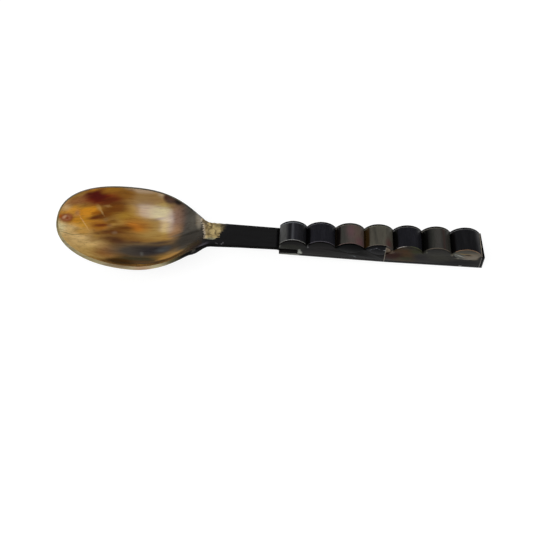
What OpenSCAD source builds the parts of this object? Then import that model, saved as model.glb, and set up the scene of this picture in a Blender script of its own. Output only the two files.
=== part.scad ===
// Horn serving spoon: a carved horn bowl and neck, and a handle of horn plates on a wooden core.
// X runs from the bowl's tip to the butt, Y across, Z up. The spoon lies at rest on Z = 0, on the
// bottom of its bowl and on the lower edge of its butt.

/* [Bowl] */
// Length of the hollow from its widest place to the tip
bowl_front = 45.6; // [36:0.2:56]
// Length of the hollow from its widest place to the throat
bowl_back = 46; // [38:0.2:56]
// Width of the hollow at its widest place
bowl_w = 62.4; // [50:0.5:76]
// Depth of the hollow below its rim
bowl_depth = 17.5; // [12:0.5:24]
// Thickness of the bowl's bottom
wall_t = 2.4; // [1.8:0.1:4]
// Width of the rim at the bowl's sides
rim_t = 1.9; // [1.4:0.1:2.6]
// Width of the rim at the tip
tip_t = 1.3; // [1:0.1:2]
// How far the rim's outer edge lies below its inner edge
rim_drop = 0.8; // [0.4:0.1:1.2]
// Slope of the rim, up from the throat to the tip, in degrees
rim_rise = 5.6; // [3:0.2:9]
// Dip of the rim at the bowl's sides
rim_sag = 2; // [0:0.1:3.5]

/* [Neck and tang] */
// Length of the neck from the throat to the handle
neck_len = 46.6; // [34:0.2:60]
// Width of the neck at the throat
neck_w_throat = 18; // [14:0.2:22]
// Width of the neck where it meets the handle
neck_w_handle = 16.4; // [13:0.2:16.4]
// Thickness of the neck at the handle
neck_t = 3.3; // [2.4:0.1:4]
// Thickness of the neck at the throat
throat_t = 4; // [3:0.1:5]
// Slope of the neck, up from the handle to the throat, in degrees
neck_rise = 1.3; // [0:0.1:3]
// Height of the neck's top above the handle's underside
neck_top = 8; // [7:0.1:8.6]
// Length of the tang inside the handle
tang_len = 60; // [40:1:90]
// Width of the tang
tang_w = 9; // [6:0.5:11]
// Thickness of the tang
tang_t = 2.2; // [1.6:0.1:2.4]

/* [Handle] */
// Width of the handle at its front
handle_w_front = 16.4; // [15:0.1:20]
// Width of the handle at its butt
handle_w_butt = 19.7; // [17:0.1:24]
// Height of the first lobe's crown above the underside
crown_front = 15.4; // [14:0.1:18]
// Height of the last lobe's crown above the underside
crown_butt = 15.9; // [14:0.1:18]
// Length of the first lobe
first_lobe = 17.3; // [15:0.1:20]
// Length of each lobe between the first and the last
lobe_pitch = 18.25; // [16:0.05:20]
// Length of the last lobe
last_lobe = 18.8; // [17:0.1:21]
// Height of a lobe's crown above the valleys beside it
lobe_rise = 5; // [4:0.1:5.6]
// How far the underside rises to the front, over the front length of the plates
front_lift = 1.6; // [0:0.1:2]
// Width of the flat strip in a valley
valley_w = 1.2; // [0.8:0.1:2]

/* [Plates] */
// Thickness of the curved veneers
veneer_t = 1.5; // [1.2:0.1:2]
// Thickness of the side plates
side_t = 1.3; // [1:0.1:2]
// Thickness of the bottom plates
bottom_t = 1.9; // [1.4:0.1:2.4]
// Thickness of the butt plate at its near edge
butt_t = 2; // [1.6:0.1:3]
// Thickness of the butt plate at its far edge
butt_t_far = 0.9; // [0.8:0.1:3]
// Height of the lens-shaped inlays in the near side, from their lobe's crown down
inlay_h = 8.6; // [7:0.1:10]
// Radius of the inlays' lower edge
inlay_r = 10.6; // [9:0.1:14]
// Where the side and bottom plates' two lengths meet, from the handle's front
seam_at = 66.8; // [60:0.2:72]
// Glue line between two pieces
glue = 0.1; // [0.06:0.02:0.2]

/* [Wear] */
// Length of the broken-out corner of the near side plate
break_len = 11.8; // [6:0.2:15]
// Height of the broken-out corner
break_h = 3.9; // [2:0.1:4.5]
// How far the core has crumbled away behind the broken corner
break_in = 1.6; // [0.5:0.1:2.4]
// Length that the core's nose shows under the neck
nose_len = 3; // [1:0.2:5]

/* [Hidden] */
LOBES = 7;
// The lobes that have an inlay under them on the near side
INLAID = [3, 4, 7];
$fn = 96;

// Lobes are counted from the handle's front. A lobe's start and end are its valleys.
function lobe_start(k) = k == 1 ? 0 : first_lobe + (k - 2) * lobe_pitch;
function lobe_end(k) = k == LOBES ? lobe_start(k) + last_lobe : first_lobe + (k - 1) * lobe_pitch;
function lobe_middle(k) = (lobe_start(k) + lobe_end(k)) / 2;
function lobe_crown(k) = crown_front + (crown_butt - crown_front) * (k - 1) / (LOBES - 1);
function lobe_half(k) = (lobe_end(k) - lobe_start(k)) / 2;
function lobe_radius(k) = (lobe_half(k) * lobe_half(k) + lobe_rise * lobe_rise) / (2 * lobe_rise);
body_len = lobe_end(LOBES);
handle_len = body_len + butt_t;
// The veneers stand on ledges of the core, this far below the valleys
foot_drop = 2.2;
// The core's rib in a valley ends this far below the veneers' edges
rib_drop = 0.6;
// Long enough to reach past the handle on any side
reach = 3 * handle_w_butt;
// Cutting shapes run this far past the faces that they cut through
past = 1;
// The sides of the handle, as signs of Y
NEAR = -1;
FAR = 1;

function half_w(x) = (handle_w_front + (handle_w_butt - handle_w_front) * x / handle_len) / 2;

// The bowl's widest place, measured along the handle's own X from its front
widest_at = -neck_len - bowl_back;
// The sides of the bowl would meet in a point this far behind the widest place
side_reach = 1.137;
// Powers that give the outline its round tip and the hollow its round bottom
tip_power = 2.25;
side_power = 2.2;
dish_power = 2.5;
// Powers that keep the rim's dip near the widest place
sag_front_power = 1.5;
sag_back_power = 3;
// Powers that blend the bowl's outline and back into the neck
side_blend = 5;
back_blend = 4;
// The bowl's back runs on this far past the throat
back_extra = 4;
// Power that makes the neck's underside flat, with round edges
slab_power = 24;
// The bowl's round back turns flat from this share of bowl_back on, over this share of it
flat_from = 0.75;
flat_over = 0.4;
// Share of the neck over which it thins from the throat
thin_over = 0.5;
// Rounding of the neck's upper edges
neck_edge = 0.4;
// The bowl's rim turns into the neck's edge over this length before the throat
edge_blend = 12;

outer_half = bowl_w / 2 + rim_t;
outer_front = bowl_front + tip_t;
back_depth = bowl_depth + wall_t;

// In these functions, s is the distance from the widest place, negative towards the tip
function tip_round(a) = pow(max(0, 1 - pow(a, tip_power)), 1 / tip_power);
function side_out(s) = outer_half * max(0, 1 - pow(s / (bowl_back * side_reach), side_power));
function neck_half(s) = let (a = min(1, max(0, (s - bowl_back) / neck_len)))
    (neck_w_throat + (neck_w_handle - neck_w_throat) * a) / 2;
function blend(a, b, n) = pow(pow(a, n) + pow(b, n), 1 / n);
function outer_w(s) = s < 0 ? outer_half * tip_round(-s / outer_front)
    : blend(side_out(s), neck_half(s), side_blend);
function smooth(a) = let (t = min(1, max(0, a))) t * t * (3 - 2 * t);
function edge_w(s) = rim_t + (neck_edge - rim_t) * smooth((s - bowl_back + edge_blend) / edge_blend);
function edge_drop(s) = rim_drop + (neck_edge - rim_drop) * smooth((s - bowl_back + edge_blend) / edge_blend);
function inner_w(s) = s < 0 ? (outer_half - rim_t) * tip_round(-s / bowl_front) : outer_w(s) - edge_w(s);
function throat_z() = neck_top + neck_len * tan(neck_rise);
function rim_z(s) = s > bowl_back ? neck_top + (neck_len + bowl_back - s) * tan(neck_rise)
    : throat_z() + (bowl_back - s) * tan(rim_rise) - rim_sag * sag_share(s);
function sag_share(s) = s < 0 ? pow(max(0, 1 - pow(s / bowl_front, 2)), sag_front_power)
    : pow(max(0, 1 - pow(s / bowl_back, 2)), sag_back_power);
function hollow(s) = s < 0 ? bowl_depth * max(0, 1 - pow(-s / bowl_front, dish_power))
    : bowl_depth * max(0, 1 - pow(s / bowl_back, dish_power));
function slab_t(s) = throat_t + (neck_t - throat_t) * smooth((s - bowl_back) / (neck_len * thin_over));
function back(s) = s < 0 ? (back_depth - edge_drop(s)) * max(0, 1 - pow(-s / outer_front, dish_power))
    : blend(back_depth * max(0, 1 - pow(s / (bowl_back + back_extra), dish_power)),
            slab_t(s), back_blend) - edge_drop(s);
function back_power(s) = dish_power + (slab_power - dish_power)
    * smooth((s - flat_from * bowl_back) / (flat_over * bowl_back));

// Stations along the bowl and neck: close together at the tip, where the outline turns
TIP_STEPS = 18;
SIDE_STEPS = 24;
NECK_STEPS = 12;
ACROSS = 26;
neck_from = bowl_back + 2 * back_extra;
inner_stations = concat(
    [for (i = [1:TIP_STEPS]) -bowl_front * cos(90 * i / TIP_STEPS)],
    [for (i = [1:SIDE_STEPS]) neck_from * i / SIDE_STEPS],
    [for (i = [1:NECK_STEPS]) neck_from + (bowl_back + neck_len - neck_from) * i / NECK_STEPS]
);
function outer_station(s) = s < 0 ? s * outer_front / bowl_front : s;

// Shares across a section run from -1 to 1 and lie closer together towards the edges
function across(j) = sin(90 * (2 * j / ACROSS - 1));
function section(s) = let (o = outer_station(s)) concat(
    [for (j = [0:ACROSS]) let (t = across(j))
        [widest_at + s, inner_w(s) * t,
         rim_z(s) - hollow(s) * (1 - pow(abs(t), dish_power))]],
    [for (j = [ACROSS:-1:0]) let (t = across(j))
        [widest_at + o, outer_w(o) * t,
         rim_z(s) - edge_drop(o) - back(o) * (1 - pow(abs(t), back_power(o)))]]
);

tang_top = neck_top - (neck_t - tang_t) / 2;
function tang_section(x) = concat(
    [for (j = [0:ACROSS]) [x, tang_w / 2 * across(j), tang_top]],
    [for (j = [ACROSS:-1:0]) [x, tang_w / 2 * across(j), tang_top - tang_t]]
);

// The spoon lies with its butt down, so that the bowl and the butt touch the ground together.
// Each round of level lets the bowl down onto the ground again, and they soon settle.
LEVEL_ROUNDS = 6;
function lowest(points, tilt) = min([for (p = points) p.z * cos(tilt) - p.x * sin(tilt)]);
function level(points, tilt, rounds) = rounds < 1 ? tilt
    : level(points, tilt + atan((-handle_len * sin(tilt) - lowest(points, tilt))
        / (handle_len - widest_at)), rounds - 1);
back_line = [for (s = inner_stations) let (o = outer_station(s))
    [widest_at + o, 0, rim_z(s) - edge_drop(o) - back(o)]];
rest_tilt = level(back_line, 0, LEVEL_ROUNDS);
tip_point = [widest_at - outer_front, 0, rim_z(-bowl_front) - rim_drop];
tip_x = tip_point.x * cos(rest_tilt) + tip_point.z * sin(rest_tilt);
butt_h = crown_butt - lobe_rise;
butt_x = handle_len * cos(rest_tilt) + butt_h * sin(rest_tilt);

module at_rest() {
    translate([-(tip_x + butt_x) / 2, 0, handle_len * sin(rest_tilt)])
        rotate([0, rest_tilt, 0])
            children();
}

// Joins rings of equal length into a closed skin, from one end point or flat end to the other
function ring_faces(rings, count) = [for (r = [0:rings - 2], i = [0:count - 1])
    let (a = r * count + i, b = r * count + (i + 1) % count)
        each [[a, b, a + count], [b, b + count, a + count]]];

module bowl_and_neck() {
    count = 2 * (ACROSS + 1);
    rings = concat(
        [for (s = inner_stations) section(s)],
        [tang_section(0), tang_section(tang_len)]
    );
    body = [for (ring = rings) each ring];
    inner_tip = len(body);
    outer_tip = inner_tip + 1;
    points = concat(body, [[widest_at - bowl_front, 0, rim_z(-bowl_front)], tip_point]);
    last = (len(rings) - 1) * count;
    faces = concat(
        ring_faces(len(rings), count),
        [for (j = [0:ACROSS - 1]) [j + 1, j, inner_tip]],
        [for (j = [ACROSS + 1:count - 2]) [j + 1, j, outer_tip]],
        [[ACROSS + 1, ACROSS, inner_tip], [ACROSS + 1, inner_tip, outer_tip],
         [0, count - 1, outer_tip], [0, outer_tip, inner_tip]],
        [for (j = [0:ACROSS - 1]) each [
            [last + j, last + j + 1, last + count - 1 - j],
            [last + j + 1, last + count - 2 - j, last + count - 1 - j]]]
    );
    color("peru") at_rest() polyhedron(points, faces, convexity = 6);
}

// Extrudes a side view, drawn with the height up the page, right across the handle
module across_handle() {
    rotate([90, 0, 0])
        linear_extrude(height = reach, center = true)
            children();
}

// A block from x0 to x1 between the handle's tapering sides, drawn in by inset
module plan_block(x0, x1, inset) {
    translate([0, 0, -past])
        linear_extrude(height = reach)
            polygon([
                [x0, inset - half_w(x0)], [x1, inset - half_w(x1)],
                [x1, half_w(x1) - inset], [x0, half_w(x0) - inset]
            ]);
}

// A strip from x0 to x1, as wide as depth, along one side of the handle
module plan_strip(x0, x1, side, depth) {
    translate([0, 0, -past])
        linear_extrude(height = reach)
            polygon([
                [x0, side * half_w(x0)], [x1, side * half_w(x1)],
                [x1, side * (half_w(x1) - depth)], [x0, side * (half_w(x0) - depth)]
            ]);
}

inner_inset = side_t + glue;
inner_floor = bottom_t + glue;

// Side view of one lobe between its valleys, down to the bottom plate, with its arc drawn in by inset
module lobe_view(k, inset, floor_z) {
    intersection() {
        translate([lobe_middle(k), lobe_crown(k) - lobe_radius(k)])
            circle(r = lobe_radius(k) - inset);
        translate([lobe_start(k), floor_z])
            square([lobe_end(k) - lobe_start(k), lobe_crown(k) - floor_z]);
    }
}

// Side view of what the rising underside takes away in the front length, with raise added below it
module under_cut(raise) {
    polygon([
        [seam_at, raise], [seam_at, -reach],
        [-reach, -reach], [-reach, raise + front_lift * (1 + reach / seam_at)]
    ]);
}

// Side view of the side plates: the lobes over a block as high as the valleys' strips
module sides_view() {
    difference() {
        for (k = [1:LOBES]) {
            lobe_view(k, 0, inner_floor);
            translate([lobe_start(k), inner_floor])
                square([lobe_end(k) - lobe_start(k), lobe_crown(k) - lobe_rise - rib_drop - inner_floor]);
        }
        under_cut(inner_floor);
    }
}

// The veneers at the ends reach to the handle's ends, and the others stop at their valleys' strips
function veneer_from(k) = k == 1 ? 0 : lobe_start(k) + valley_w / 2;
function veneer_to(k) = k == LOBES ? body_len - glue : lobe_end(k) - valley_w / 2;

module top_veneer(k) {
    shades = ["#2b2f31", "#1d1d22", "#5a4744", "#4b4740", "#1c1c21", "#33322c", "#17171a"];
    color(shades[k - 1]) at_rest() intersection() {
        plan_block(veneer_from(k), veneer_to(k), inner_inset);
        across_handle() difference() {
            lobe_view(k, 0, lobe_crown(k) - lobe_rise - foot_drop);
            translate([lobe_middle(k), lobe_crown(k) - lobe_radius(k)])
                circle(r = lobe_radius(k) - veneer_t);
        }
    }
}

// Side view of the core: scallops for the veneers, a rib in each valley and a nose under the neck
module core_view() {
    difference() {
        for (k = [1:LOBES]) {
            foot_z = lobe_crown(k) - lobe_rise - foot_drop - glue;
            lobe_view(k, veneer_t + glue, foot_z);
            translate([lobe_start(k), inner_floor])
                square([lobe_end(k) - lobe_start(k), foot_z - inner_floor]);
            if (k > 1)
                translate([lobe_start(k) - valley_w / 2 + glue, inner_floor])
                    square([valley_w - 2 * glue, lobe_crown(k) - lobe_rise - rib_drop - inner_floor]);
        }
        under_cut(inner_floor);
    }
    nose_top = neck_top - neck_t - glue;
    nose_floor = inner_floor + front_lift;
    polygon([[0, nose_floor], [past, nose_floor], [past, nose_top], [-nose_len, nose_top]]);
}

// Side view of the broken-out corner, which is open to the bottom plate and round at its end
module break_view() {
    end_r = break_h / 2;
    translate([0, inner_floor + front_lift]) rotate(-atan(front_lift / seam_at)) {
        translate([-nose_len, -past]) square([break_len - end_r + nose_len, break_h + past]);
        translate([-nose_len, -past]) square([break_len + nose_len, end_r + past]);
        translate([break_len - end_r, end_r]) circle(r = end_r);
    }
}

module handle_core() {
    color("saddlebrown") at_rest() difference() {
        intersection() {
            across_handle() core_view();
            plan_block(-nose_len, body_len - glue, inner_inset);
        }
        translate([-past, -tang_w / 2 - glue, tang_top - tang_t - glue])
            cube([tang_len + glue + past, tang_w + 2 * glue, tang_t + 2 * glue]);
        intersection() {
            across_handle() break_view();
            plan_strip(0, seam_at, NEAR, inner_inset + break_in);
        }
    }
}

// Side view of the lens under lobe k, drawn out by gap
module inlay_view(k, gap) {
    intersection() {
        translate([lobe_middle(k), lobe_crown(k) - lobe_radius(k)])
            circle(r = lobe_radius(k) + gap);
        translate([lobe_middle(k), lobe_crown(k) - inlay_h + inlay_r])
            circle(r = inlay_r + gap);
    }
}

module near_inlay(k) {
    shades = ["#151517", "#1b1c1b", "#8b8272"];
    from = lobe_start(k) < seam_at ? 0 : seam_at + glue / 2;
    to = lobe_start(k) < seam_at ? seam_at - glue / 2 : body_len - glue;
    color(shades[search(k, INLAID)[0]]) at_rest() intersection() {
        across_handle() inlay_view(k, 0);
        plan_strip(from, to, NEAR, side_t);
    }
}

// A flat side plate from x0 to x1 with the lobes' outline
module side_plate(x0, x1, side) {
    intersection() {
        across_handle() sides_view();
        plan_strip(x0, x1, side, side_t);
    }
}

// A near side plate, with openings for its inlays
module near_plate(x0, x1) {
    difference() {
        side_plate(x0, x1, NEAR);
        across_handle() for (k = INLAID) inlay_view(k, glue);
    }
}

module near_plate_front() {
    color("#2a2727") at_rest() difference() {
        near_plate(0, seam_at - glue / 2);
        across_handle() break_view();
    }
}

module near_plate_rear() {
    color("#4a3424") at_rest() near_plate(seam_at + glue / 2, body_len - glue);
}

module far_plate_front() {
    color("#201f20") at_rest() side_plate(0, seam_at - glue / 2, FAR);
}

module far_plate_rear() {
    color("#262322") at_rest() side_plate(seam_at + glue / 2, body_len - glue, FAR);
}

module bottom_plate_front() {
    color("#8a8068") at_rest() intersection() {
        plan_block(0, seam_at - glue / 2, 0);
        across_handle() difference() {
            under_cut(bottom_t);
            under_cut(0);
        }
    }
}

module bottom_plate_rear() {
    color("#6f6653") at_rest() intersection() {
        plan_block(seam_at + glue / 2, body_len - glue, 0);
        translate([0, -reach / 2, 0]) cube([body_len, reach, bottom_t]);
    }
}

module butt_plate() {
    color("#151517") at_rest()
        linear_extrude(height = butt_h)
            polygon([
                [body_len, -half_w(body_len)], [handle_len, -half_w(handle_len)],
                [body_len + butt_t_far, half_w(body_len)], [body_len, half_w(body_len)]
            ]);
}

bowl_and_neck();
handle_core();
for (k = [1:LOBES]) top_veneer(k);
for (k = INLAID) near_inlay(k);
near_plate_front();
near_plate_rear();
far_plate_front();
far_plate_rear();
bottom_plate_front();
bottom_plate_rear();
butt_plate();
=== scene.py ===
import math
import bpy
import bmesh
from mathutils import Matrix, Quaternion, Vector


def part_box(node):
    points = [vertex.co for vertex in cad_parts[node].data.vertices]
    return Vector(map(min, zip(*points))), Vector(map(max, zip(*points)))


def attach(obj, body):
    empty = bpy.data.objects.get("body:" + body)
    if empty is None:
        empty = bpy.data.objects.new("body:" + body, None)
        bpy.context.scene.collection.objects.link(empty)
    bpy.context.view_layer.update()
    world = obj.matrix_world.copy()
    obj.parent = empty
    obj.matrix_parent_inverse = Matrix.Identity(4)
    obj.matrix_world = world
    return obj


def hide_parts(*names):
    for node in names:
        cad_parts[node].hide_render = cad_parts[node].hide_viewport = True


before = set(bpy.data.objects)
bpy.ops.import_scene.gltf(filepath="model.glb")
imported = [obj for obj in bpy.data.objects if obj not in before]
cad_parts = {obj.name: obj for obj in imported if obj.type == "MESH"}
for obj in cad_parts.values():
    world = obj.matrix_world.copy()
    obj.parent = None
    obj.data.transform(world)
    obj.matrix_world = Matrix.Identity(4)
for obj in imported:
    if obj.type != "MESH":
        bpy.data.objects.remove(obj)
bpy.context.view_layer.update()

# %% [markdown]
# # A horn spoon
# The real spoon is two things joined. The bowl and its flat neck are carved from one piece of
# cow horn, pale and amber at the tip and nearly black at the throat. The handle is a wooden core
# that is clad in thin plates of darker horn: seven curved ones across the top, flat ones on the
# sides and below, and one that closes the end.
# The CAD model gives each piece its exact place. This lesson gives the pieces their worn edges,
# their glue lines and, above all, the colours and polish of horn.

print("pieces from the CAD model:", len(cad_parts))

# %% [markdown]
# The handle is a straight bar that was modelled level, from its front at x = 0 to its butt, and
# then laid down with its butt on the table. Every new piece on it is built level in the same way
# and laid down by the same small turn and shift at the end, so it always fits the CAD pieces.

# %% The handle's own frame and sizes
MM = 0.001
TILT, FRONT = math.radians(2.34716), (4.49454 * MM, 0, 5.29743 * MM)
REST = Matrix.Translation(FRONT) @ Matrix.Rotation(TILT, 4, "Y")
LOBES = 7
FIRST_LOBE, LOBE_PITCH, LAST_LOBE = 17.3 * MM, 18.25 * MM, 18.8 * MM
CROWN_FRONT, CROWN_BUTT, LOBE_RISE = 15.4 * MM, 15.9 * MM, 5 * MM
WIDTH_FRONT, WIDTH_BUTT, HANDLE_LEN = 16.4 * MM, 19.7 * MM, 129.35 * MM
VENEER_T, SIDE_T, GLUE, VALLEY_W = 1.5 * MM, 1.3 * MM, 0.1 * MM, 1.2 * MM
SEAM_AT, BODY_LEN = 66.8 * MM, 127.35 * MM
WIDENING = (WIDTH_BUTT - WIDTH_FRONT) / HANDLE_LEN / 2


def lobe(k):
    """Gives a lobe's start, end, crown height and radius, counted from the handle's front."""
    start = 0 if k == 1 else FIRST_LOBE + (k - 2) * LOBE_PITCH
    end = start + (FIRST_LOBE if k == 1 else LAST_LOBE if k == LOBES else LOBE_PITCH)
    crown = CROWN_FRONT + (CROWN_BUTT - CROWN_FRONT) * (k - 1) / (LOBES - 1)
    half = (end - start) / 2
    return start, end, crown, (half * half + LOBE_RISE * LOBE_RISE) / (2 * LOBE_RISE)


for k in range(1, LOBES + 1):
    print("lobe", k, "from, to, crown, radius:", [round(v / MM, 2) for v in lobe(k)])

# %% [markdown]
# The photograph was taken from in front and a little over 50 degrees up, with a long lens. The
# camera looks at a point on the table near the handle's front. Its place was found by matching
# the spoon's outline. The lens is given by its focal length in pixels of the square picture.

# %% Camera
VIEW_UP = math.radians(53.8)
VIEW_TURN = 0.03347
LOOK_AT = Vector((5.894, -23.498, 0)) * MM
DISTANCE = 630.37 * MM
FOCAL_PIXELS, PICTURE_PIXELS, SENSOR = 1000, 560, 36
back = Vector((math.cos(VIEW_UP) * math.sin(VIEW_TURN),
               -math.cos(VIEW_UP) * math.cos(VIEW_TURN), math.sin(VIEW_UP)))
camera_data = bpy.data.cameras.new("camera")
camera_data.sensor_width = SENSOR
camera_data.lens = SENSOR * FOCAL_PIXELS / PICTURE_PIXELS
camera = bpy.data.objects.new("camera", camera_data)
bpy.context.scene.collection.objects.link(camera)
camera.location = LOOK_AT + back * DISTANCE
camera.rotation_euler = (math.pi / 2 - VIEW_UP, 0, VIEW_TURN)
bpy.context.scene.camera = camera
print("camera at, in mm:", [round(v / MM) for v in camera.location])

# %% [markdown]
# ## Tools for the materials
# Horn has no texture image here. Each colour comes from a few nodes that read the place on the
# piece in millimetres, so the pattern stays in the material when the spoon is seen from any side.
# Colours are written as on a paint chart and turned into the linear values that Blender uses.

# %% Colours and nodes
def paint(code):
    """Turns a colour such as #B8842E into Blender's linear red, green, blue and alpha."""
    channels = [int(code[i:i + 2], 16) / 255 for i in (1, 3, 5)]
    linear = [c / 12.92 if c <= 0.04045 else ((c + 0.055) / 1.055) ** 2.4 for c in channels]
    return (*linear, 1)


def add(tree, kind, sockets=None, **settings):
    """Adds one node, sets its settings, and fills or links its sockets by name or number."""
    made = tree.nodes.new("ShaderNode" + kind)
    for key, value in settings.items():
        setattr(made, key, value)
    for key, value in (sockets or {}).items():
        if isinstance(value, bpy.types.NodeSocket):
            tree.links.new(value, made.inputs[key])
        else:
            made.inputs[key].default_value = value
    return made


def new_material(name):
    """Makes a material, and gives its empty node tree and the place on the piece in mm."""
    material = bpy.data.materials.new(name)
    material.use_nodes = True
    tree = material.node_tree
    tree.nodes.clear()
    place = add(tree, "TexCoord").outputs["Object"]
    mm = add(tree, "VectorMath", {0: place, "Scale": 1 / MM}, operation="SCALE").outputs[0]
    return material, tree, mm


print("colour helpers ready; the amber ground is", [round(c, 3) for c in paint("#966C2E")])

# %% [markdown]
# Noise gives the clouds and the grain. Its scale is a number of grains for each millimetre: 0.1
# makes clouds of 10 mm, and 1.5 makes fibres of two thirds of a millimetre. The fibres of real
# horn are about a tenth of a millimetre, too fine to show at this distance, so they are drawn
# that much coarser. The stretch, below 1 along the piece, draws every grain out lengthwise.

# %% Mixing and noise
def mix(tree, factor, below, above, how="MIX"):
    """Lays one colour over another by a factor."""
    made = add(tree, "Mix", {0: factor, 6: below, 7: above}, data_type="RGBA", blend_type=how)
    return made.outputs[2]


def ramp(tree, value, low, high, to_low=0.0, to_high=1.0):
    """Maps a value from low..high to another range, with soft ends."""
    return add(tree, "MapRange", {"Value": value, "From Min": low, "From Max": high,
                                  "To Min": to_low, "To Max": to_high},
               interpolation_type="SMOOTHSTEP").outputs[0]


def darken(tree, colour, grains, low, high, amount, code):
    """Lets the light parts of a grain darken a colour."""
    return mix(tree, ramp(tree, grains, low, high, 0.0, amount), colour, paint(code), "MULTIPLY")


def grain(tree, mm, scale, stretch, detail=4.0, rough=0.55, seed=0.0):
    """Makes cloudy noise whose grains are drawn out along the piece."""
    turned = add(tree, "Mapping", {"Vector": mm, "Location": (seed, seed, seed), "Scale": stretch})
    return add(tree, "TexNoise", {"Vector": turned.outputs[0], "Scale": scale, "Detail": detail,
                                  "Roughness": rough}).outputs["Fac"]


def ragged(tree, mm, amount, scale, stretch):
    """Shifts the place on the piece by a little noise, which frays the edge of all laid there."""
    turned = add(tree, "Mapping", {"Vector": mm, "Scale": stretch})
    noise = add(tree, "TexNoise", {"Vector": turned.outputs[0], "Scale": scale, "Detail": 4.0})
    centred = add(tree, "VectorMath", {0: noise.outputs["Color"], 1: (0.5, 0.5, 0.5)},
                  operation="SUBTRACT").outputs[0]
    shift = add(tree, "VectorMath", {0: centred, "Scale": 2 * amount}, operation="SCALE").outputs[0]
    return add(tree, "VectorMath", {0: mm, 1: shift}, operation="ADD").outputs[0]


print("noise helpers ready")

# %% [markdown]
# A mark is a soft oval of colour, given by its centre and half its size in millimetres: along and
# across on the spoon's top, or along and up on its side. Then come its turn in degrees, the
# softness of its edge and how far it covers what lies below, where they differ from the usual.
# It is a circle measured in a stretched plane, where its edge is one unit from its centre.

# %% Ovals of colour
def on_plane(pair, side):
    """Puts two numbers on the side's plane or on the top's."""
    return (pair[0], 0, pair[1]) if side else (pair[0], pair[1], 0)


def spot_mask(tree, mm, centre, size, turn=0.0, soft=0.7, amount=1.0, side=False):
    """Gives the mask of one soft oval."""
    local = add(tree, "VectorMath", {0: mm, 1: on_plane(centre, side)},
                operation="SUBTRACT").outputs[0]
    if turn:
        axis, angle = ("Y_AXIS", turn) if side else ("Z_AXIS", -turn)
        local = add(tree, "VectorRotate", {"Vector": local, "Angle": math.radians(angle)},
                    rotation_type=axis).outputs[0]
    squash = on_plane((1 / size[0], 1 / size[1]), side)
    local = add(tree, "VectorMath", {0: local, 1: squash}, operation="MULTIPLY").outputs[0]
    far = add(tree, "VectorMath", {0: local}, operation="LENGTH").outputs["Value"]
    return ramp(tree, far, 1 - soft, 1 + soft, amount, 0.0)


def spots(tree, mm, colour, ovals, side=False):
    """Lays ovals of colour one over another, the last on top."""
    for centre, size, code, *rest in ovals:
        mask = spot_mask(tree, mm, centre, size, *rest, side=side)
        colour = mix(tree, mask, colour, paint(code))
    return colour


print("oval helpers ready")

# %% [markdown]
# Horn is keratin, as nails are, with an index of refraction of about 1.55. Polished on a wheel it
# has a soft, deep shine. The black horn of the handle is handled more and is duller, so the
# strength of its mirror is lowered. A very shallow bump lets the reflections break on the grain.
# The glue and the wood end in the same way, only rougher and with hardly any shine.

# %% Polish, and a piece's materials
HORN_IOR = 1.55


def polish(tree, material, colour, roughness, bump, strength, depth, gloss=0.5):
    """Ends a material with its colour, roughness, bump, in millimetres of depth, and gloss."""
    sockets = {"Base Color": colour, "Roughness": roughness, "IOR": HORN_IOR,
               "Specular IOR Level": gloss}
    sockets["Normal"] = add(tree, "Bump", {"Height": bump, "Strength": strength,
                                           "Distance": depth * MM}).outputs[0]
    surface = add(tree, "BsdfPrincipled", sockets)
    add(tree, "OutputMaterial", {"Surface": surface.outputs[0]})
    return material


def dress(obj, *materials):
    """Gives a piece its materials in place of those it had."""
    obj.data.materials.clear()
    for material in materials:
        obj.data.materials.append(material)


print("horn's index of refraction:", HORN_IOR)

# %% [markdown]
# ## The bowl's horn
# Cow horn grows in layers, so its colours lie in long streaks, with clouds of brown, orange and
# khaki between them. On this bowl a small knot sits by the tip, a maroon cloud lies under the far
# rim, a slate band runs along the near wall, and the whole darkens to black at the throat.
# The clouds are ovals, seen from above and laid one over another on an amber ground. A little
# noise frays their edges. Fine lengthwise grain then runs through them all. The growth lines
# curve round the tip, so the pattern is laid out flat and the place is bent before it is read.

# %% The growth lines bend round the tip
TIP_FROM, TIP_BEND = -92.0, 0.012


def bent(tree, mm):
    """Bends the place on the piece so that lines along y = const curve round the bowl's tip."""
    parts = add(tree, "SeparateXYZ", {0: mm}).outputs
    past = add(tree, "Math", {0: TIP_FROM, 1: parts[0]}, operation="SUBTRACT").outputs[0]
    past = add(tree, "Math", {0: past, 1: 0.0}, operation="MAXIMUM").outputs[0]
    square = add(tree, "Math", {0: past, 1: past}, operation="MULTIPLY").outputs[0]
    lifted = add(tree, "Math", {0: square, 1: TIP_BEND, 2: parts[1]},
                 operation="MULTIPLY_ADD").outputs[0]
    return add(tree, "CombineXYZ", {0: parts[0], 1: lifted, 2: parts[2]}).outputs[0]


print("lines bend from x =", TIP_FROM, "mm to the tip")

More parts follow.
